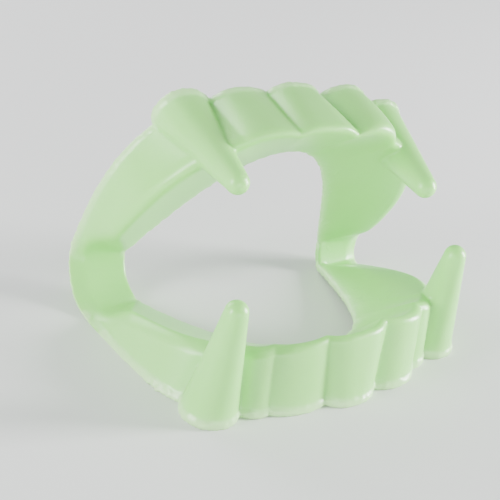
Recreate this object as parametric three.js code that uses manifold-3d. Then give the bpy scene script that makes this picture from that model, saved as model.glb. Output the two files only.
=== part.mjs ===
// Novelty vampire fang denture: one soft plastic moulding. Two U-shaped tooth arches, joined at the
// back by two bends, with the mouth open towards -Y. Millimetres, +Z up, resting on the lower rim.
import * as THREE from 'three';
import Module from 'manifold-3d';
import { mergeVertices } from 'three/addons/utils/BufferGeometryUtils.js';

const wasm = await Module();
wasm.setup();

// Main sizes. The wall rises gently over START_LENGTH from a bend, START_SKEW sooner on the right than in
// the middle. The right bend sits RIGHT_BOW further out and RIGHT_FORWARD further forward than the left one.
// The bends are eased into the straps fully up to EASE_FULL and not at all beyond EASE_END.
const WIDTH = 60.0;
const FLARE = 1.84;
const SHEET = 1.5;
const BEND_RADIUS = 3.31;
const BEND_HEIGHT = 1.45;
const OPENING_DEG = 74.2;
const TWIST_DEG = -10.4;
const YAW_DEG = 2.4;
const TWIST_BEND_SHARE = 1.04;
const BEND_SKEW = -0.23;
const START_LENGTH = 9;
const START_SKEW = 3;
const RIGHT_BOW = 0.76;
const RIGHT_FORWARD = 3.68;
const RIGHT_PINCH = 1.04;
const LIP_HEIGHT = 1.4;
const LIP_PROUD = 0.3;
const LIP_TOP_SHARE = 0.8;
const SIDE_ANGLE = 45;
const ROUND_LIMIT = 0.42;
const CHANNEL_ANGLE = 72;
const CHANNEL_STEP = 3;
const HALF = WIDTH / 2;
const RIDGE_HALF = HALF - FLARE;
const CENTRE = BEND_RADIUS + BEND_HEIGHT;
const BEND_STEPS = 10;
const EASE_PASSES = 3;
const EASE_FULL = 4;
const EASE_END = 12;

// Each jaw, in mm and exponents. The soft moulding has set askew, so some values differ by side:
// depth and height of the arch at the front, exponents of the rim and ridge arches (across, forward, and
// how much the forward one grows to the right), lean of the ridge, shift of the front to the right and
// slant of the ridge beyond it;
// how much taller the wall is on the right, how early it rises there and by side, how round its ridge is;
// width of the bite shelf at the bend and at the front, exponents of its inner edge, how far that edge
// dips below the ridge at the front, the share of a tooth's bulge that reaches the ridge;
// the fangs: arch angle, inset and radius of the base, centre of the rounded tip.
const LOWER = {
  depth: 37.81, height: 13.4, across: 2.3, ridgeAcross: 2.65, forward: 5.3, forwardSkew: -0.05, lean: -2.67,
  shift: 0.4, slant: 1.28, tall: 0.065, risePower: 0.77, riseSkew: 0.249, roundSide: 2.4, roundFront: 1.5,
  shelfSide: 9.07, shelfFront: 6.79, innerAcross: 2.47, innerForward: 1.36, dip: 7.32, ridgeShare: 0.8,
  fangAngle: 53.39, fangInset: 0.41, fangBase: 4.85, fangTip: [23.9, 32.4, 20.3], upper: false,
};
const UPPER = {
  depth: 37.91, height: 15.33, across: 2.63, ridgeAcross: 2.97, forward: 3.14, forwardSkew: 0.31, lean: 3.7,
  shift: 0.16, slant: -0.1, tall: -0.111, risePower: 0.58, riseSkew: 0.06, roundSide: 3.6, roundFront: 2.2,
  shelfSide: 8.6, shelfFront: 9.62, innerAcross: 2.07, innerForward: 1.05, dip: 5.63, ridgeShare: 0.45,
  fangAngle: 35.51, fangInset: 0.69, fangBase: 4.95, fangTip: [18.3, 35.9, 20.8], upper: true,
};

// Teeth between the fangs: arch angles of the two grooves in degrees, bulge in mm.
const LOWER_TEETH = [
  { from: -40.7, to: -29.0, bulge: 0.7 },
  { from: -29.0, to: -8.1, bulge: 0.5 },
  { from: -8.1, to: 8.1, bulge: 2.2 },
  { from: 8.1, to: 29.0, bulge: 1.9 },
  { from: 29.0, to: 40.7, bulge: 0.7 },
];
const UPPER_TEETH = [
  { from: -23.9, to: -5.6, bulge: 1.3 },
  { from: -5.6, to: 5.6, bulge: 2.3 },
  { from: 5.6, to: 23.9, bulge: 3.4 },
];
const TOOTH_STEPS = 8;
const SIDE_STEPS = 17;
const GROOVE_POWER = 2.3;

// Fangs: radius of the rounded tip, and the share of the fang that is hollow from the rim
const FANG_TIP = 2.0;
const FANG_HOLLOW = 0.22;
const FANG_SIDES = 24;
const FANG_RINGS = 5;

LOWER.teeth = LOWER_TEETH;
UPPER.teeth = UPPER_TEETH;

const rad = (deg) => (deg * Math.PI) / 180;
const add = (a, b, k = 1) => [a[0] + b[0] * k, a[1] + b[1] * k, a[2] + b[2] * k];
const sub = (a, b) => add(a, b, -1);
const dot = (a, b) => a[0] * b[0] + a[1] * b[1] + a[2] * b[2];
const mix = (a, b, t) => add(a, sub(b, a), t);
const unit = (a) => {
  const length = Math.hypot(a[0], a[1], a[2]);
  return [a[0] / length, a[1] / length, a[2] / length];
};
const arch = (angle, half, depth, across, forward) => {
  const s = Math.sin(rad(angle));
  const c = Math.max(Math.cos(rad(angle)), 0);
  const x = half * Math.sign(s) * Math.pow(Math.abs(s), 2 / across);
  const v = Math.abs(angle) >= 90 ? 0 : depth * Math.pow(c, 2 / forward);
  return [x, v];
};

// The three guide points of a section at one arch angle: rim, ridge and inner edge, in the frame of
// the jaw: x across, v forward from the bend, w up from the rim plane towards the mouth.
const guides = (jaw, angle) => {
  const right = Math.max(Math.sin(rad(angle)), 0);
  const bow = RIGHT_BOW * Math.pow(right, 8);
  const innerHalf = RIDGE_HALF - jaw.shelfSide + RIGHT_PINCH * Math.pow(right, 6);
  const front = jaw.forward + jaw.forwardSkew * Math.sin(rad(angle));
  const [rx, rv] = arch(angle, HALF, jaw.depth, jaw.across, front);
  const [cx, cv] = arch(angle, RIDGE_HALF, jaw.depth, jaw.ridgeAcross, front);
  const [ix, iv] = arch(angle, innerHalf, jaw.depth - jaw.shelfFront, jaw.innerAcross, jaw.innerForward);
  const rise = rv / jaw.depth;
  const riseIn = iv / jaw.depth;
  const startLength = START_LENGTH - START_SKEW * Math.sin(rad(angle));
  const start = Math.min(rv / startLength, 1);
  const gentle = start * start * (3 - 2 * start);
  const wallRise = gentle * Math.pow(rise, jaw.risePower + jaw.riseSkew * (cx / HALF));
  const full = jaw.height - BEND_HEIGHT;
  const tall = (x) => 1 + jaw.tall * (x / HALF);
  const ahead = RIGHT_FORWARD * Math.pow(right, 8) * (1 - rise) * (1 - rise);
  const aside = bow + jaw.shift * rise;
  const asideIn = bow + jaw.shift * riseIn;
  return {
    rim: [rx + aside, rv + ahead, 0],
    ridge: [
      cx + aside + jaw.slant * rise,
      cv + ahead + jaw.lean * rise,
      BEND_HEIGHT + full * wallRise * tall(cx),
    ],
    inner: [
      ix + asideIn + jaw.slant * riseIn,
      iv + ahead + jaw.lean * riseIn,
      BEND_HEIGHT + (full - jaw.dip) * riseIn * tall(ix),
    ],
  };
};

const outward = (jaw, angle) => {
  if (Math.abs(angle) >= 89.9) return [Math.sign(angle), 0, 0];
  const step = 0.4;
  const front = jaw.forward + jaw.forwardSkew * Math.sin(rad(angle));
  const a = arch(angle - step, HALF, jaw.depth, jaw.across, front);
  const b = arch(angle + step, HALF, jaw.depth, jaw.across, front);
  return unit([-(b[1] - a[1]), b[0] - a[0], 0]);
};

const bulgeAt = (jaw, angle) => {
  for (const tooth of jaw.teeth) {
    if (angle >= tooth.from && angle <= tooth.to) {
      const u = (angle - tooth.from) / (tooth.to - tooth.from);
      return tooth.bulge * (1 - Math.pow(Math.abs(2 * u - 1), GROOVE_POWER));
    }
  }
  return 0;
};

// One closed section of the moulded sheet: wall from the rim up to the ridge, then the bite shelf.
const section = (jaw, angle) => {
  const g = guides(jaw, angle);
  const out = outward(jaw, angle);
  const bulge = bulgeAt(jaw, angle);
  const rim = add(g.rim, out, bulge);
  const ridge = add(g.ridge, out, bulge * jaw.ridgeShare);
  const down = unit(sub(rim, ridge));
  const back = unit(sub(g.inner, ridge));
  const cosine = dot(down, back);
  const sine = Math.max(Math.sqrt(1 - cosine * cosine), 0.6);
  const under = unit(add(down, back, -cosine));
  const wall = Math.hypot(...sub(rim, ridge));
  const shelf = Math.hypot(...sub(g.inner, ridge));
  const side = Math.min(Math.abs(angle) / SIDE_ANGLE, 1);
  const round = Math.min(jaw.roundFront + (jaw.roundSide - jaw.roundFront) * side, wall * ROUND_LIMIT);
  const turn = (t) => mix(mix(add(ridge, down, round), ridge, t), mix(ridge, add(ridge, back, round), t), t);
  const lip = LIP_HEIGHT / wall;
  const rimIn = add(rim, out, -SHEET);
  const corner = add(add(ridge, down, SHEET / sine), back, SHEET / sine);
  const innerUnder = add(g.inner, under, SHEET);
  return [
    add(rim, out, LIP_PROUD),
    add(mix(rim, ridge, lip * LIP_TOP_SHARE), out, LIP_PROUD),
    mix(rim, ridge, lip),
    mix(rim, ridge, 0.5 + lip / 2),
    turn(0),
    turn(0.33),
    turn(0.67),
    turn(1),
    mix(ridge, g.inner, Math.max(0.6, (round + 0.8) / shelf)),
    add(g.inner, back, -0.4),
    add(g.inner, under, 0.5),
    innerUnder,
    mix(innerUnder, corner, 0.5),
    mix(corner, innerUnder, Math.min(0.5 / shelf, 0.3)),
    mix(corner, rimIn, 0.12),
    mix(corner, rimIn, 0.5),
    rimIn,
  ];
};

// From the frame of a jaw to the shared frame: the lower jaw lies on the floor, the upper jaw opens
// about the bends and is slightly turned about its own middle line, as the soft moulding sets. The radius
// of the bends changes a little across the width, by BEND_SKEW.
const placeLower = (p) => [p[0], -p[1], p[2]];
const centreAt = (p) => CENTRE + BEND_SKEW * (p[0] / HALF);
const askew = (q, share, centre) => {
  const open = rad(OPENING_DEG);
  const forward = new THREE.Vector3(0, -Math.cos(open), Math.sin(open));
  const upward = new THREE.Vector3(0, Math.sin(open), Math.cos(open));
  const turned = new THREE.Vector3(q[0], q[1], q[2]);
  turned.applyAxisAngle(forward, rad(TWIST_DEG) * share).applyAxisAngle(upward, rad(YAW_DEG) * share);
  return [turned.x, turned.y, turned.z + centre];
};
const placeUpper = (p) => {
  const open = rad(OPENING_DEG);
  const centre = centreAt(p);
  const up = centre - p[2];
  const q = [p[0], -p[1] * Math.cos(open) + up * Math.sin(open), p[1] * Math.sin(open) + up * Math.cos(open)];
  const forward = 1 - Math.pow(1 - Math.min(Math.max(p[1] / UPPER.depth, 0), 1), 3);
  return askew(q, TWIST_BEND_SHARE + (1 - TWIST_BEND_SHARE) * forward, centre);
};
const placeBend = (p, t) => {
  const centre = centreAt(p);
  const radius = centre - p[2];
  const turn = rad(-90 + (180 - OPENING_DEG) * t);
  const tilt = rad(OPENING_DEG) * t;
  const y = radius * Math.cos(turn) - p[1] * Math.cos(tilt);
  const z = radius * Math.sin(turn) + p[1] * Math.sin(tilt);
  return askew([p[0], y, z], TWIST_BEND_SHARE * t, centre);
};

// Arch angles of the stations of one jaw: even steps along the sides, and even steps in each tooth
const stations = (jaw) => {
  const first = jaw.teeth[0].from;
  const reach = Math.pow(Math.cos(rad(first)), 2 / jaw.forward);
  const side = [];
  for (let i = 0; i < SIDE_STEPS; i += 1) {
    const cosine = Math.pow((reach * i) / SIDE_STEPS, jaw.forward / 2);
    side.push((Math.acos(cosine) * 180) / Math.PI);
  }
  const list = side.map((angle) => -angle);
  for (const { from, to } of jaw.teeth) {
    for (let i = 0; i < TOOTH_STEPS; i += 1) list.push(from + ((to - from) * i) / TOOTH_STEPS);
  }
  return [...list, -first, ...side.reverse()];
};

// A body from rows of equal length: closed round each row, and along the rows too when ring is true
const skin = (rows, ring) => {
  const n = rows[0].length;
  const vertices = rows.flat(2);
  const index = [];
  const last = ring ? rows.length : rows.length - 1;
  for (let i = 0; i < last; i += 1) {
    const a = i * n;
    const b = ((i + 1) % rows.length) * n;
    for (let k = 0; k < n; k += 1) {
      const m = (k + 1) % n;
      index.push(a + k, b + k, b + m, a + k, b + m, a + m);
    }
  }
  if (!ring) {
    const end = (rows.length - 1) * n;
    for (let k = 1; k < n - 1; k += 1) {
      index.push(0, k, k + 1);
      index.push(end, end + k + 1, end + k);
    }
  }
  const geometry = new THREE.BufferGeometry();
  geometry.setAttribute('position', new THREE.Float32BufferAttribute(vertices, 3));
  geometry.setIndex(index);
  return geometry;
};

const toSolid = (geometry) => {
  const merged = mergeVertices(geometry, 1e-5);
  const build = (flip) => {
    const tris = Uint32Array.from(merged.index.array);
    if (flip) {
      for (let i = 0; i < tris.length; i += 3) [tris[i], tris[i + 1]] = [tris[i + 1], tris[i]];
    }
    const vertProperties = Float32Array.from(merged.attributes.position.array);
    return new wasm.Manifold(new wasm.Mesh({ numProp: 3, vertProperties, triVerts: tris }));
  };
  const solid = build(false);
  return solid.volume() > 0 ? solid : build(true);
};

// The straps run into the bends without a crease: near a bend each row is eased towards its neighbours
const ease = (rows, weights) => {
  const n = rows.length;
  for (let pass = 0; pass < EASE_PASSES; pass += 1) {
    const before = [...rows];
    for (let i = 0; i < n; i += 1) {
      if (weights[i] > 0) {
        const last = before[(i + n - 1) % n];
        const next = before[(i + 1) % n];
        rows[i] = before[i].map((p, k) => mix(p, mix(last[k], next[k], 0.5), 0.5 * weights[i]));
      }
    }
  }
  return rows;
};

// The moulded sheet, once round: lower arch, right bend, upper arch back, left bend
const mixSections = (a, b, t) => a.map((p, i) => mix(p, b[i], t));
const sheetRows = () => {
  const rows = [];
  const weights = [];
  const strap = (jaw, place, angles) => {
    for (const angle of angles) {
      const forward = guides(jaw, angle).rim[1];
      rows.push(section(jaw, angle).map(place));
      weights.push(Math.min(Math.max((EASE_END - forward) / (EASE_END - EASE_FULL), 0), 1));
    }
  };
  const bend = (angle, forwards) => {
    const low = section(LOWER, angle);
    const high = section(UPPER, angle);
    for (let i = 1; i < BEND_STEPS; i += 1) {
      const t = forwards ? i / BEND_STEPS : 1 - i / BEND_STEPS;
      rows.push(mixSections(low, high, t).map((p) => placeBend(p, t)));
      weights.push(1);
    }
  };
  strap(LOWER, placeLower, stations(LOWER));
  bend(90, true);
  strap(UPPER, placeUpper, stations(UPPER).reverse());
  bend(-90, false);
  return ease(rows, weights);
};

// The hollow behind the wall and under the shelf, where the wearer's teeth go
const channel = (jaw) => {
  const place = jaw.upper ? placeUpper : placeLower;
  const rows = [];
  for (let angle = -CHANNEL_ANGLE; angle <= CHANNEL_ANGLE; angle += CHANNEL_STEP) {
    const s = section(jaw, angle);
    const deep = [s[11][0], s[11][1], -2];
    const open = [s[16][0], s[16][1], -2];
    rows.push([open, s[16], s[15], s[14], s[13], s[12], s[11], deep].map(place));
  }
  return toSolid(skin(rows, false));
};

// A fang: a straight cone on the rim, leaning to its rounded tip. grow is the change of radius.
const fangRows = (jaw, side, grow, topShare, place, start) => {
  const angle = jaw.fangAngle * side;
  const out = outward(jaw, angle);
  const base = add(guides(jaw, angle).rim, out, -jaw.fangInset);
  const tip = [jaw.fangTip[0] * side + jaw.shift, jaw.fangTip[1], jaw.fangTip[2]];
  const top = mix(base, tip, topShare);
  const topRadius = jaw.fangBase + (FANG_TIP - jaw.fangBase) * topShare + grow;
  const rows = [];
  const ring = (centre, radius) => {
    const row = [];
    for (let k = 0; k < FANG_SIDES; k += 1) {
      const a = (2 * Math.PI * k) / FANG_SIDES;
      row.push(place(add(centre, [radius * Math.cos(a), radius * Math.sin(a), 0])));
    }
    rows.push(row);
  };
  const level = (w, extra) => {
    const t = w / tip[2];
    ring([base[0] + (tip[0] - base[0]) * t, base[1] + (tip[1] - base[1]) * t, w],
      jaw.fangBase + (FANG_TIP - jaw.fangBase) * t + grow + extra);
  };
  const lip = grow < 0 ? 0 : LIP_PROUD;
  level(start, lip);
  level(LIP_HEIGHT * LIP_TOP_SHARE, lip);
  level(LIP_HEIGHT, 0);
  for (let i = 1; i < FANG_RINGS; i += 1) level(LIP_HEIGHT + ((top[2] - LIP_HEIGHT) * i) / FANG_RINGS, 0);
  for (const rise of [0, 24, 46, 66, 82]) {
    ring(add(top, [0, 0, topRadius * Math.sin(rad(rise))]), topRadius * Math.cos(rad(rise)));
  }
  return rows;
};

const floorCut = () => {
  const block = new THREE.BoxGeometry(200, 200, 20).translate(0, 0, -10);
  for (const name of ['normal', 'uv']) block.deleteAttribute(name);
  return toSolid(block);
};

let body = toSolid(skin(sheetRows(), true));
for (const jaw of [LOWER, UPPER]) {
  const place = jaw.upper ? placeUpper : placeLower;
  const start = jaw.upper ? 0 : -0.4;
  const hollow = channel(jaw);
  for (const side of [-1, 1]) {
    body = body.add(toSolid(skin(fangRows(jaw, side, 0, 1, place, start), false)).subtract(hollow));
    body = body.subtract(toSolid(skin(fangRows(jaw, side, -SHEET, FANG_HOLLOW, place, -1), false)));
  }
}
body = body.subtract(floorCut()).simplify(0.02);

const shape = body.getMesh();
const geometry = new THREE.BufferGeometry();
geometry.setAttribute('position', new THREE.Float32BufferAttribute(Float32Array.from(shape.vertProperties), 3));
geometry.setIndex(Array.from(shape.triVerts));
const flat = geometry.toNonIndexed();
flat.computeBoundingBox();
const box = flat.boundingBox;
flat.translate(-(box.min.x + box.max.x) / 2, -(box.min.y + box.max.y) / 2, -box.min.z);
flat.computeVertexNormals();

const material = new THREE.MeshStandardMaterial({ color: 0xb9dcae, roughness: 0.4 });
material.name = 'glow_plastic';
const mesh = new THREE.Mesh(flat, material);
mesh.name = 'denture';
const group = new THREE.Group();
group.name = 'vampire_fang_denture';
group.add(mesh);
export default group;
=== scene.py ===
# Novelty vampire fang denture: one soft, pale green plastic moulding that stands on its lower rim.
# Guide sizes are in millimetres, as on a drawing, and every mesh is made in metres.
import bpy
import bmesh
import math
from mathutils import Vector, Matrix, noise, kdtree


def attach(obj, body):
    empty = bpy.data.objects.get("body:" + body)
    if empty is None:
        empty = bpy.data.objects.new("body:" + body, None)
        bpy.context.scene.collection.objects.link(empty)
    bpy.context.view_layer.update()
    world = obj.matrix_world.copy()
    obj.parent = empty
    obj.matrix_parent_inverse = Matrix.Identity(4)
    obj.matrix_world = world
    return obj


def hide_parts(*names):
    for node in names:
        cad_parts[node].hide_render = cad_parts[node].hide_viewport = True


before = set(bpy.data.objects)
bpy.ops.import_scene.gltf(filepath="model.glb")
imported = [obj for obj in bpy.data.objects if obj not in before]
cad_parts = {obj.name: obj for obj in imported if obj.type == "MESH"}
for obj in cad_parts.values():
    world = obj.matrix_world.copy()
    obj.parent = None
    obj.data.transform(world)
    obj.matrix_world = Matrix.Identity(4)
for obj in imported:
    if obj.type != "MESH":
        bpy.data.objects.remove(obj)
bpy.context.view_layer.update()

# Sizes of the moulding
MM = 0.001
WIDTH = 60.0
FLARE = 1.84
SHEET = 1.5
BEND_RADIUS = 3.31
BEND_HEIGHT = 1.45
OPENING_DEG = 74.2
TWIST_DEG = -10.4
YAW_DEG = 2.4
TWIST_BEND_SHARE = 1.04
BEND_SKEW = -0.23
START_LENGTH = 9
START_SKEW = 3
RIGHT_BOW = 0.76
RIGHT_FORWARD = 3.68
RIGHT_PINCH = 1.04
LIP_HEIGHT = 1.4
LIP_PROUD = 0.3
LIP_GROOVE = 0.1
HALF = WIDTH / 2
RIDGE_HALF = HALF - FLARE
CENTRE = BEND_RADIUS + BEND_HEIGHT
BACK_SHIFT = 15.453
SIDE_SHIFT = -0.709
FANG_TIP = 2.0
FANG_HOLLOW = 0.22
ROUND_LIMIT = 0.42
SIDE_ANGLE = 45
CHANNEL_ANGLE = 72
CHANNEL_STEP = 3
GROOVE_POWER = 2.3
BEND_STEPS = 27
EASE_PASSES = 22
EASE_FULL = 4
EASE_END = 12
SKIN_STEP = 0.27
FACE_LIMIT = 185000
RIM_FLAT = 0.12
RING_SIDES = 56
CHANNEL_POINTS = (2, 6, 8, 11, 14)

LOWER = dict(
    depth=37.81, height=13.4, across=2.3, ridge_across=2.65, forward=5.3, forward_skew=-0.05, lean=-2.67,
    shift=0.4, slant=1.28, tall=0.065,
    shelf_side=9.07, shelf_front=6.79, inner_across=2.47, inner_forward=1.36, dip=7.32,
    rise_power=0.77, rise_skew=0.249, round_side=2.4, round_front=1.5,
    ridge_share=0.8, fade=1.0, bevel=0.55,
    fang_angle=53.39, fang_inset=0.41, fang_base=4.85, fang_tip=(23.9, 32.4, 20.3), upper=False,
    teeth=[(-40.7, -29.0, 0.7), (-29.0, -8.1, 0.9), (-8.1, 8.1, 2.2), (8.1, 29.0, 1.9), (29.0, 40.7, 0.7)],
)
UPPER = dict(
    depth=37.91, height=15.33, across=2.63, ridge_across=2.97, forward=3.14, forward_skew=0.31, lean=3.7,
    shift=0.16, slant=-0.1, tall=-0.111,
    shelf_side=8.6, shelf_front=9.62, inner_across=2.07, inner_forward=1.05, dip=5.63,
    rise_power=0.58, rise_skew=0.06, round_side=3.6, round_front=2.2,
    ridge_share=0.45, fade=2.5, bevel=0.1,
    fang_angle=35.51, fang_inset=0.69, fang_base=4.95, fang_tip=(18.3, 35.9, 20.8), upper=True,
    teeth=[(-23.9, -5.6, 1.3), (-5.6, 5.6, 2.3), (5.6, 23.9, 3.4)],
)


def arch(angle, half, depth, across, forward):
    """A point of a squared ellipse: x across and v forward."""
    s = math.sin(math.radians(angle))
    c = max(math.cos(math.radians(angle)), 0.0)
    x = half * math.copysign(abs(s) ** (2 / across), s)
    v = 0.0 if abs(angle) >= 90 else depth * c ** (2 / forward)
    return x, v


def guides(jaw, angle):
    """Rim, ridge and inner edge of one section: x across, v forward, w up from the rim plane."""
    right = max(math.sin(math.radians(angle)), 0.0)
    bow = RIGHT_BOW * right ** 8
    inner_half = RIDGE_HALF - jaw["shelf_side"] + RIGHT_PINCH * right ** 6
    front = jaw["forward"] + jaw["forward_skew"] * math.sin(math.radians(angle))
    rx, rv = arch(angle, HALF, jaw["depth"], jaw["across"], front)
    cx, cv = arch(angle, RIDGE_HALF, jaw["depth"], jaw["ridge_across"], front)
    inner_depth = jaw["depth"] - jaw["shelf_front"]
    ix, iv = arch(angle, inner_half, inner_depth, jaw["inner_across"], jaw["inner_forward"])
    rise = rv / jaw["depth"]
    rise_in = iv / jaw["depth"]
    start_length = START_LENGTH - START_SKEW * math.sin(math.radians(angle))
    start = min(rv / start_length, 1.0)
    gentle = start * start * (3 - 2 * start)
    wall_rise = gentle * rise ** (jaw["rise_power"] + jaw["rise_skew"] * cx / HALF)
    full = jaw["height"] - BEND_HEIGHT
    ridge_up = full * wall_rise * (1 + jaw["tall"] * cx / HALF)
    inner_up = (full - jaw["dip"]) * rise_in * (1 + jaw["tall"] * ix / HALF)
    ahead = RIGHT_FORWARD * right ** 8 * (1 - rise) ** 2
    aside = bow + jaw["shift"] * rise
    aside_in = bow + jaw["shift"] * rise_in
    rim = Vector((rx + aside, rv + ahead, 0.0))
    ridge = Vector((cx + aside + jaw["slant"] * rise, cv + ahead + jaw["lean"] * rise,
                    BEND_HEIGHT + ridge_up))
    inner = Vector((ix + aside_in + jaw["slant"] * rise_in, iv + ahead + jaw["lean"] * rise_in,
                    BEND_HEIGHT + inner_up))
    return rim, ridge, inner


def outward(jaw, angle):
    """The level direction out of the arch at an angle."""
    if abs(angle) >= 89.9:
        return Vector((math.copysign(1.0, angle), 0.0, 0.0))
    front = jaw["forward"] + jaw["forward_skew"] * math.sin(math.radians(angle))
    a = arch(angle - 0.4, HALF, jaw["depth"], jaw["across"], front)
    b = arch(angle + 0.4, HALF, jaw["depth"], jaw["across"], front)
    return Vector((-(b[1] - a[1]), b[0] - a[0], 0.0)).normalized()


def bulge_at(jaw, angle):
    """How far a tooth stands out of the arch at an angle."""
    for start, stop, bulge in jaw["teeth"]:
        if start <= angle <= stop:
            u = (angle - start) / (stop - start)
            return bulge * (1 - abs(2 * u - 1) ** GROOVE_POWER)
    return 0.0


def arc_points(a, corner, b, count):
    """Points of a round corner from a to b."""
    points = []
    for i in range(count):
        t = i / (count - 1)
        points.append(a * (1 - t) ** 2 + corner * 2 * t * (1 - t) + b * t * t)
    return points


def line_points(a, b, count):
    return [a.lerp(b, (i + 1) / (count + 1)) for i in range(count)]


def section(jaw, angle):
    """Closed outline of the moulded sheet: lip, wall, round ridge, bite shelf and back again."""
    rim0, ridge0, inner = guides(jaw, angle)
    out = outward(jaw, angle)
    bulge = bulge_at(jaw, angle)
    rim = rim0 + out * bulge
    ridge = ridge0 + out * bulge * jaw["ridge_share"]
    down = (rim - ridge).normalized()
    back = (inner - ridge).normalized()
    cosine = down.dot(back)
    sine = max(math.sqrt(max(1 - cosine * cosine, 0.0)), 0.6)
    under = (down - back * cosine).normalized()
    wall = (rim - ridge).length
    shelf = (inner - ridge).length
    side = min(abs(angle) / SIDE_ANGLE, 1.0)
    turn = min(jaw["round_front"] + (jaw["round_side"] - jaw["round_front"]) * side, wall * ROUND_LIMIT)
    lip = LIP_HEIGHT / wall
    rim_in = rim - out * SHEET
    corner = ridge + down * (SHEET / sine) + back * (SHEET / sine)
    inner_under = inner + under * SHEET
    proud = out * LIP_PROUD
    up = Vector((0.0, 0.0, 1.0))

    def on_wall(share):
        """A point of the wall, where a tooth stays full and then fades towards the ridge."""
        full = bulge * (1 - (1 - jaw["ridge_share"]) * share ** jaw["fade"])
        return rim0.lerp(ridge0, share) + out * full

    top = 1 - turn / wall
    lip_top = on_wall(lip)
    points = arc_points(rim + proud - out * 0.3, rim + proud, rim + proud + up * 0.3, 3)
    points += line_points(rim + proud + up * 0.3, on_wall(lip * 0.84) + proud, 2)
    points += [on_wall(lip * 0.9) + proud * 0.9, lip_top - out * LIP_GROOVE, on_wall(lip * 1.2)]
    points += [on_wall(lip * 1.2 + (top - lip * 1.2) * k / 8) for k in range(1, 8)]
    bevel = ridge.lerp((on_wall(top) + ridge + back * turn) / 2, jaw["bevel"])
    points += arc_points(on_wall(top), bevel, ridge + back * turn, 7)
    points += line_points(ridge + back * turn, inner - back * 0.4, 5)
    points += arc_points(inner - back * 0.4, inner, inner + under * 0.4, 3)
    points += arc_points(inner_under - under * 0.4, inner_under, inner_under - back * 0.4, 3)
    soft = min(1.2, shelf * 0.3)
    points += line_points(inner_under - back * 0.4, corner + (inner_under - corner).normalized() * soft, 4)
    drop = rim_in - corner
    points += arc_points(corner + (inner_under - corner).normalized() * soft, corner,
                         corner + drop * min(1.2 / max(drop.length, 0.01), 0.4), 3)
    points += line_points(corner + drop * 0.42, rim_in + up * 0.2, 4)
    points += [rim_in + up * 0.2, rim_in + out * 0.2]
    return points


def place_lower(p):
    return Vector((p.x, -p.y, p.z))


def centre_at(p):
    """The bends are not equally wide on both sides."""
    return CENTRE + BEND_SKEW * p.x / HALF


def askew(q, share, centre):
    """The upper jaw sits a little twisted and turned on the bends, as the soft moulding sets."""
    opening = math.radians(OPENING_DEG)
    forward = Vector((0.0, -math.cos(opening), math.sin(opening)))
    upward = Vector((0.0, math.sin(opening), math.cos(opening)))
    q = Matrix.Rotation(math.radians(TWIST_DEG) * share, 3, forward) @ q
    q = Matrix.Rotation(math.radians(YAW_DEG) * share, 3, upward) @ q
    return q + Vector((0.0, 0.0, centre))


def place_upper(p):
    opening = math.radians(OPENING_DEG)
    centre = centre_at(p)
    up = centre - p.z
    q = Vector((p.x, -p.y * math.cos(opening) + up * math.sin(opening),
                p.y * math.sin(opening) + up * math.cos(opening)))
    forward = 1 - (1 - min(max(p.y / UPPER["depth"], 0.0), 1.0)) ** 3
    return askew(q, TWIST_BEND_SHARE + (1 - TWIST_BEND_SHARE) * forward, centre)


def place_bend(p, t):
    centre = centre_at(p)
    radius = centre - p.z
    turn = math.radians(-90 + (180 - OPENING_DEG) * t)
    tilt = math.radians(OPENING_DEG) * t
    y = radius * math.cos(turn) - p.y * math.cos(tilt)
    z = radius * math.sin(turn) + p.y * math.sin(tilt)
    return askew(Vector((p.x, y, z)), TWIST_BEND_SHARE * t, centre)


def to_part(p):
    """From the drawing's place, with the bend at y 0, to metres in the shared frame."""
    return Vector((p.x + SIDE_SHIFT, p.y + BACK_SHIFT, p.z)) * MM


def placed(jaw, p):
    return to_part(place_upper(p) if jaw["upper"] else place_lower(p))


def deselect():
    if bpy.context.mode != "OBJECT":
        bpy.ops.object.mode_set(mode="OBJECT")
    bpy.ops.object.select_all(action="DESELECT")


def only(obj):
    deselect()
    obj.select_set(True)
    bpy.context.view_layer.objects.active = obj


def loft(name, rows, ring=False):
    """A closed circle is set to the first row's outline and extruded from row to row."""
    deselect()
    count = len(rows[0])
    bpy.ops.mesh.primitive_circle_add(vertices=count, radius=0.01, fill_type="NOTHING")
    piece = bpy.context.object
    piece.name = name
    piece.data.name = name
    bpy.ops.object.mode_set(mode="EDIT")
    bpy.ops.mesh.select_all(action="SELECT")
    mesh = bmesh.from_edit_mesh(piece.data)
    mesh.verts.ensure_lookup_table()
    loop = list(mesh.verts)
    for vertex, place in zip(loop, rows[0]):
        vertex.co = place
    for row in rows[1:]:
        bpy.ops.mesh.extrude_region_move()
        mesh = bmesh.from_edit_mesh(piece.data)
        fresh = []
        for vertex in loop:
            for edge in vertex.link_edges:
                other = edge.other_vert(vertex)
                if other.select:
                    fresh.append(other)
                    break
        loop = fresh
        for vertex, place in zip(loop, row):
            vertex.co = place
    bmesh.update_edit_mesh(piece.data)
    if ring:
        bpy.ops.mesh.select_all(action="SELECT")
        bpy.ops.mesh.remove_doubles(threshold=1e-7)
    else:
        bpy.ops.mesh.edge_face_add()
        mesh = bmesh.from_edit_mesh(piece.data)
        bpy.ops.mesh.select_all(action="DESELECT")
        mesh.verts.ensure_lookup_table()
        for index in range(count):
            mesh.verts[index].select = True
        mesh.select_flush(True)
        bpy.ops.mesh.edge_face_add()
    bpy.ops.mesh.select_all(action="SELECT")
    bpy.ops.mesh.normals_make_consistent(inside=False)
    bpy.ops.object.mode_set(mode="OBJECT")
    return piece


def cut(piece, tool):
    only(piece)
    modifier = piece.modifiers.new("cut", "BOOLEAN")
    modifier.object = tool
    modifier.operation = "DIFFERENCE"
    modifier.solver = "MANIFOLD"
    bpy.ops.object.modifier_apply(modifier=modifier.name)


def remove(*pieces):
    for piece in pieces:
        bpy.data.objects.remove(piece, do_unlink=True)


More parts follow.
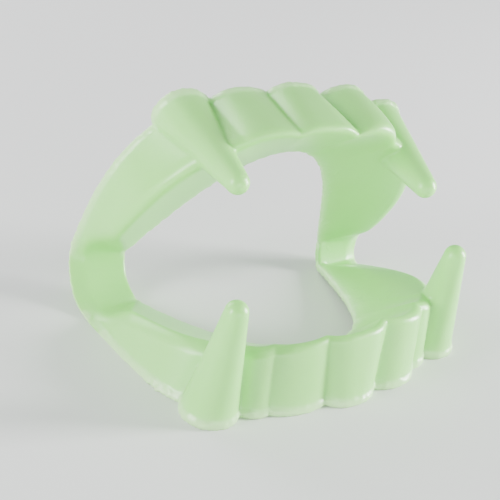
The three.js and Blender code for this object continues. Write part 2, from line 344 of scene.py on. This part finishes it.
def station_angles(jaw, side_steps, tooth_steps):
    """Even steps along the sides of the arch, and even steps in each tooth."""
    first = jaw["teeth"][0][0]
    reach = math.cos(math.radians(first)) ** (2 / jaw["forward"])
    half_power = jaw["forward"] / 2
    side = [math.degrees(math.acos((reach * i / side_steps) ** half_power)) for i in range(side_steps)]
    angles = [-angle for angle in side]
    for start, stop, _ in jaw["teeth"]:
        angles += [start + (stop - start) * i / tooth_steps for i in range(tooth_steps)]
    return angles + [-first] + side[::-1]


def ease(rows, weights):
    """Near a bend each row is eased towards its neighbours, so that the straps run in without a crease."""
    count = len(rows)
    for _ in range(EASE_PASSES):
        before = list(rows)
        for i, weight in enumerate(weights):
            if weight > 0:
                near = zip(before[i], before[i - 1], before[(i + 1) % count])
                rows[i] = [p.lerp((a + b) / 2, 0.5 * weight) for p, a, b in near]
    return rows


def sheet_rows():
    """Outlines of the sheet once round: lower arch, right bend, upper arch, left bend."""
    rows = []
    weights = []

    def strap(jaw, angles):
        for angle in angles:
            forward = guides(jaw, angle)[0].y
            rows.append([placed(jaw, p) for p in section(jaw, angle)])
            weights.append(min(max((EASE_END - forward) / (EASE_END - EASE_FULL), 0.0), 1.0))

    def bend(angle, forwards):
        low = section(LOWER, angle)
        high = section(UPPER, angle)
        for i in range(1, BEND_STEPS):
            t = i / BEND_STEPS if forwards else 1 - i / BEND_STEPS
            rows.append([to_part(place_bend(a.lerp(b, t), t)) for a, b in zip(low, high)])
            weights.append(1.0)

    strap(LOWER, station_angles(LOWER, 46, 14))
    bend(90.0, True)
    strap(UPPER, list(reversed(station_angles(UPPER, 46, 14))))
    bend(-90.0, False)
    rows = ease(rows, weights)
    rows.append(rows[0])
    return rows


def channel_rows(jaw):
    """The hollow between the wall and the shelf, to keep the fangs out of it."""
    rows = []
    for step in range(2 * CHANNEL_ANGLE // CHANNEL_STEP + 1):
        points = section(jaw, -CHANNEL_ANGLE + CHANNEL_STEP * step)
        rim_in, wall_in, corner, shelf_in, inner_under = (points[-k] for k in CHANNEL_POINTS)
        below = Vector((0.0, 0.0, -2.0))
        foot = Vector((rim_in.x, rim_in.y, 0.0))
        rows.append([placed(jaw, p) for p in (
            foot + below, foot, wall_in, corner, shelf_in, inner_under,
            Vector((inner_under.x, inner_under.y, -2.0)))])
    return rows


def fang_rows(jaw, side, grow, top_share, start):
    """Rings of a round-tipped cone, from its start below or on the rim to a share of its length."""
    angle = jaw["fang_angle"] * side
    base = guides(jaw, angle)[0] - outward(jaw, angle) * jaw["fang_inset"]
    tip = Vector((jaw["fang_tip"][0] * side + jaw["shift"], jaw["fang_tip"][1], jaw["fang_tip"][2]))
    top = base.lerp(tip, top_share)
    rows = []

    def ring(centre, radius):
        rows.append([placed(jaw, centre + Vector((radius * math.cos(a), radius * math.sin(a), 0.0)))
                     for a in (2 * math.pi * k / RING_SIDES for k in range(RING_SIDES))])

    def level(w, extra):
        t = w / tip.z
        centre = Vector((base.x + (tip.x - base.x) * t, base.y + (tip.y - base.y) * t, w))
        ring(centre, jaw["fang_base"] + (FANG_TIP - jaw["fang_base"]) * t + grow + extra)

    lip = LIP_PROUD if grow == 0 else 0.0
    level(start, lip)
    level(LIP_HEIGHT * 0.82, lip)
    level(LIP_HEIGHT, lip * 0.1)
    for i in range(1, 12):
        level(LIP_HEIGHT + (top.z - LIP_HEIGHT) * i / 12, 0.0)
    radius = jaw["fang_base"] + (FANG_TIP - jaw["fang_base"]) * top_share + grow
    for rise in (0, 15, 30, 45, 60, 72, 83):
        lift = Vector((0, 0, radius * math.sin(math.radians(rise))))
        ring(top + lift, radius * math.cos(math.radians(rise)))
    return rows


# The moulded sheet, its fangs and the hollows behind them
denture = loft("moulded_denture", sheet_rows(), ring=True)
fangs = []
for jaw, jaw_name in ((LOWER, "lower"), (UPPER, "upper")):
    hollow = loft(jaw_name + "_tooth_channel", channel_rows(jaw))
    for side, side_name in ((-1, "left"), (1, "right")):
        fang = loft(f"{jaw_name}_{side_name}_fang", fang_rows(jaw, side, 0.0, 1.0, 0.0))
        core = loft(f"{jaw_name}_{side_name}_core", fang_rows(jaw, side, -SHEET, FANG_HOLLOW, -1.0))
        cut(fang, hollow)
        cut(fang, core)
        cut(denture, core)
        remove(core)
        fangs.append(fang)
    remove(hollow)

only(denture)
for fang in fangs:
    fang.select_set(True)
bpy.ops.object.join()
denture = bpy.context.object

# One fused skin with small moulded fillets
only(denture)
fuse = denture.modifiers.new("fuse", "REMESH")
fuse.mode = "VOXEL"
fuse.voxel_size = SKIN_STEP * MM
fuse.adaptivity = 0.0
bpy.ops.object.modifier_apply(modifier=fuse.name)
soften = denture.modifiers.new("soften", "SMOOTH")
soften.factor = 0.5
soften.iterations = 3
bpy.ops.object.modifier_apply(modifier=soften.name)
lighten = denture.modifiers.new("lighten", "DECIMATE")
lighten.ratio = min(1.0, FACE_LIMIT / (2 * len(denture.data.polygons)))
bpy.ops.object.modifier_apply(modifier=lighten.name)
print("denture faces", len(denture.data.polygons))

# The rim of the lower arch is flat where it stands
for vertex in denture.data.vertices:
    if vertex.co.z < RIM_FLAT * MM:
        vertex.co.z = 0.0

bpy.ops.object.shade_smooth()


def edge_tree():
    """Places along the rims, the inner edges and the feet of the fangs, where the moulding is thin and a
    painted highlight band is laid.
    """
    places = []
    for jaw in (LOWER, UPPER):
        for step in range(361):
            angle = -90 + step * 0.5
            rim, _, inner = guides(jaw, angle)
            out = outward(jaw, angle)
            places.append(placed(jaw, rim + out * (bulge_at(jaw, angle) + 0.2) + Vector((0, 0, 0.4))))
            places.append(placed(jaw, inner + Vector((0, 0, -0.5))))
        for side in (-1, 1):
            angle = jaw["fang_angle"] * side
            base = guides(jaw, angle)[0] - outward(jaw, angle) * jaw["fang_inset"]
            for k in range(48):
                a = 2 * math.pi * k / 48
                r = jaw["fang_base"] + 0.2
                places.append(placed(jaw, base + Vector((r * math.cos(a), r * math.sin(a), 0.4))))
    tree = kdtree.KDTree(len(places))
    for i, place in enumerate(places):
        tree.insert(place, i)
    tree.balance()
    return tree


# Painted highlight: a clear light band along each rim and edge, in millimetres, and a faint one beyond it,
# standing in for light shining through the thin plastic
BAND_SHARE = 0.75
BAND_REACH = 1.6
BAND_FADE = 0.7
FAINT_REACH = 3.0
tree = edge_tree()
edge_highlight = denture.data.attributes.new("painted_edge_highlight", "FLOAT", "POINT")
values = []
for vertex in denture.data.vertices:
    distance = tree.find(vertex.co)[2] / MM
    band = min(max((BAND_REACH - distance) / BAND_FADE, 0.0), 1.0)
    faint = max(0.0, 1 - distance / FAINT_REACH)
    values.append(BAND_SHARE * band + (1 - BAND_SHARE) * faint)
edge_highlight.data.foreach_set("value", values)

# Trimmed edges are a little uneven, and flash is left on the lower rim beside the left bend
# A notch is its place, its reach and its depth
NOTCHES = (
    (-10.9, 10.4, 26.8, 0.9, 0.35),
    (-22.6, 19.5, 17.5, 0.8, 0.2),
    (-18.9, 17.0, 20.5, 0.7, 0.2),
)
WAVER = 0.16
WAVER_SCALE = 0.9
WAVER_ABOVE = 0.5
FLASH_SIDE = -26
FLASH_FRONT = -11.4
FLASH_LENGTH = 8.2
FLASH_HEIGHT = 0.9
FLASH_DEPTH = 0.85
FLASH_END = -31.0
normals = [vertex.normal.copy() for vertex in denture.data.vertices]
uneven = []
for vertex, normal, value in zip(denture.data.vertices, normals, values):
    x, y, z = vertex.co / MM
    offset = 0.0
    if z > WAVER_ABOVE:
        offset = WAVER * value * noise.noise(Vector((x, y, z)) * WAVER_SCALE)
    for nx, ny, nz, reach, depth in NOTCHES:
        if abs(x - nx) < reach and abs(y - ny) < reach:
            gap = math.dist((x, y, z), (nx, ny, nz))
            offset -= depth * max(0.0, 1 - gap / reach)
    place = Vector((x, y, z)) + normal * offset
    along = (y - FLASH_FRONT) / FLASH_LENGTH
    if x < FLASH_SIDE and z < FLASH_HEIGHT and 0 < along < 1 and normal.x < -0.3:
        ragged = max(0.0, noise.noise(Vector((0.0, y * 1.3, 4.0))) + 0.3)
        stand = FLASH_DEPTH * ragged * math.sin(math.pi * along) * (1 - z / FLASH_HEIGHT)
        place.x = max(place.x - stand, FLASH_END)
    uneven.extend(place * MM)
denture.data.vertices.foreach_set("co", uneven)
denture.data.update()


def grain_group():
    """Fine moulding texture: soft mottling, small pits and patches of light scuffs."""
    group = bpy.data.node_groups.new("moulding_texture", "ShaderNodeTree")
    group.interface.new_socket("Vector", in_out="INPUT", socket_type="NodeSocketVector")
    group.interface.new_socket("Mottle", in_out="OUTPUT", socket_type="NodeSocketFloat")
    group.interface.new_socket("Height", in_out="OUTPUT", socket_type="NodeSocketFloat")
    nodes, links = group.nodes, group.links
    inlet = nodes.new("NodeGroupInput")
    outlet = nodes.new("NodeGroupOutput")
    mottle = nodes.new("ShaderNodeTexNoise")
    mottle.inputs["Scale"].default_value = 95.0
    mottle.inputs["Detail"].default_value = 3.0
    links.new(inlet.outputs["Vector"], mottle.inputs["Vector"])
    fine = nodes.new("ShaderNodeTexNoise")
    fine.inputs["Scale"].default_value = 1500.0
    fine.inputs["Detail"].default_value = 2.0
    links.new(inlet.outputs["Vector"], fine.inputs["Vector"])
    waves = nodes.new("ShaderNodeTexNoise")
    waves.inputs["Scale"].default_value = 260.0
    waves.inputs["Detail"].default_value = 1.0
    links.new(inlet.outputs["Vector"], waves.inputs["Vector"])
    total = nodes.new("ShaderNodeMath")
    total.operation = "MULTIPLY_ADD"
    total.inputs[1].default_value = 0.25
    links.new(fine.outputs["Fac"], total.inputs[0])
    links.new(waves.outputs["Fac"], total.inputs[2])
    scuff = nodes.new("ShaderNodeTexNoise")
    scuff.inputs["Scale"].default_value = 420.0
    scuff.inputs["Detail"].default_value = 5.0
    scuff.inputs["Distortion"].default_value = 1.2
    links.new(inlet.outputs["Vector"], scuff.inputs["Vector"])
    scuff_mask = nodes.new("ShaderNodeMapRange")
    scuff_mask.inputs["From Min"].default_value = 0.56
    scuff_mask.inputs["From Max"].default_value = 0.66
    links.new(scuff.outputs["Fac"], scuff_mask.inputs["Value"])
    patch_mask = nodes.new("ShaderNodeMapRange")
    patch_mask.inputs["From Min"].default_value = 0.5
    patch_mask.inputs["From Max"].default_value = 0.62
    links.new(mottle.outputs["Fac"], patch_mask.inputs["Value"])
    scuffs = nodes.new("ShaderNodeMath")
    scuffs.operation = "MULTIPLY"
    links.new(scuff_mask.outputs["Result"], scuffs.inputs[0])
    links.new(patch_mask.outputs["Result"], scuffs.inputs[1])
    height = nodes.new("ShaderNodeMath")
    height.operation = "ADD"
    links.new(total.outputs["Value"], height.inputs[0])
    links.new(scuffs.outputs["Value"], height.inputs[1])
    links.new(mottle.outputs["Fac"], outlet.inputs["Mottle"])
    links.new(height.outputs["Value"], outlet.inputs["Height"])
    return group


def glow_plastic():
    """Soft, milky green plastic, with a painted highlight band along its thin edges."""
    material = bpy.data.materials.new("glow_plastic")
    material.use_nodes = True
    nodes, links = material.node_tree.nodes, material.node_tree.links
    shader = nodes["Principled BSDF"]
    shader.inputs["Metallic"].default_value = 0.0
    shader.inputs["IOR"].default_value = 1.46
    shader.inputs["Subsurface Weight"].default_value = 0.5
    shader.inputs["Subsurface Radius"].default_value = (0.7, 1.0, 0.6)
    shader.inputs["Subsurface Scale"].default_value = 0.0025
    shader.inputs["Coat Weight"].default_value = 0.4
    shader.inputs["Coat Roughness"].default_value = 0.3
    place = nodes.new("ShaderNodeTexCoord")
    texture = nodes.new("ShaderNodeGroup")
    texture.node_tree = grain_group()
    links.new(place.outputs["Object"], texture.inputs["Vector"])
    body_colour = nodes.new("ShaderNodeMix")
    body_colour.data_type = "RGBA"
    body_colour.inputs["A"].default_value = (0.30, 0.78, 0.165, 1)
    body_colour.inputs["B"].default_value = (0.36, 0.83, 0.22, 1)
    links.new(texture.outputs["Mottle"], body_colour.inputs["Factor"])
    # Painted highlight: the rims and edges are mixed towards a lighter green
    highlight_band_node = nodes.new("ShaderNodeAttribute")
    highlight_band_node.attribute_name = "painted_edge_highlight"
    edge_highlight_colour = nodes.new("ShaderNodeMix")
    edge_highlight_colour.data_type = "RGBA"
    edge_highlight_colour.inputs["B"].default_value = (0.50, 0.90, 0.36, 1)
    links.new(highlight_band_node.outputs["Fac"], edge_highlight_colour.inputs["Factor"])
    links.new(body_colour.outputs["Result"], edge_highlight_colour.inputs["A"])
    links.new(edge_highlight_colour.outputs["Result"], shader.inputs["Base Color"])
    rough = nodes.new("ShaderNodeMapRange")
    rough.inputs["To Min"].default_value = 0.3
    rough.inputs["To Max"].default_value = 0.42
    links.new(texture.outputs["Mottle"], rough.inputs["Value"])
    links.new(rough.outputs["Result"], shader.inputs["Roughness"])
    bump = nodes.new("ShaderNodeBump")
    bump.inputs["Strength"].default_value = 0.22
    bump.inputs["Distance"].default_value = 0.0002
    links.new(texture.outputs["Height"], bump.inputs["Height"])
    links.new(bump.outputs["Normal"], shader.inputs["Normal"])
    return material


denture.data.materials.clear()
denture.data.materials.append(glow_plastic())
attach(denture, "root")
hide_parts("denture")

# Plain pale floor
deselect()
bpy.ops.mesh.primitive_plane_add(size=3.0)
floor = bpy.context.object
floor.name = "studio_floor"
floor_finish = bpy.data.materials.new("pale_floor")
floor_finish.use_nodes = True
floor_shader = floor_finish.node_tree.nodes["Principled BSDF"]
floor_shader.inputs["Base Color"].default_value = (0.8, 0.8, 0.79, 1)
floor_shader.inputs["Roughness"].default_value = 0.8
floor.data.materials.append(floor_finish)

# Soft studio light
world = bpy.context.scene.world
if world is None:
    world = bpy.data.worlds.new("studio")
    bpy.context.scene.world = world
world.use_nodes = True
sky = world.node_tree.nodes["Background"]
sky.inputs["Color"].default_value = (0.9, 0.95, 1.0, 1)
sky.inputs["Strength"].default_value = 0.56
LIGHT_AIM = Vector((0, 0, 0.02))


def soft_light(name, place, size, power):
    """A softbox that looks at the middle of the moulding."""
    light = bpy.data.lights.new(name, "AREA")
    light.shape = "RECTANGLE"
    light.size = size[0]
    light.size_y = size[1]
    light.energy = power
    lamp = bpy.data.objects.new(name, light)
    bpy.context.scene.collection.objects.link(lamp)
    lamp.location = place
    lamp.rotation_euler = (LIGHT_AIM - Vector(place)).to_track_quat("-Z", "Y").to_euler()


soft_light("right_softbox", (0.42, -0.20, 0.10), (0.12, 0.30), 9.0)
soft_light("left_softbox", (-0.46, 0.02, 0.12), (0.14, 0.30), 3.6)
soft_light("back_softbox", (-0.10, 0.45, 0.22), (0.35, 0.25), 2.0)
soft_light("front_softbox", (-0.15, -0.50, 0.06), (0.40, 0.12), 1.3)


# Camera at the photo's angle
AIM = Vector((-0.00599, 0.00354, 0.01593))
AZIMUTH = math.radians(-41.17)
ELEVATION = math.radians(29.73)
ROLL = math.radians(-10.82)
DISTANCE = 0.21303
LENS = 87.3
level = math.cos(ELEVATION)
away = Vector((math.sin(AZIMUTH) * level, -math.cos(AZIMUTH) * level, math.sin(ELEVATION)))
right = Vector((0, 0, 1)).cross(away).normalized()
up = away.cross(right)
turned_right = right * math.cos(ROLL) - up * math.sin(ROLL)
turned_up = up * math.cos(ROLL) + right * math.sin(ROLL)
lens = bpy.data.cameras.new("photo_camera")
lens.lens = LENS
lens.sensor_width = 36.0
lens.clip_start = 0.01
camera = bpy.data.objects.new("photo_camera", lens)
bpy.context.scene.collection.objects.link(camera)
facing = Matrix((turned_right, turned_up, away)).transposed().to_4x4()
camera.matrix_world = Matrix.Translation(AIM + away * DISTANCE) @ facing
bpy.context.scene.camera = camera
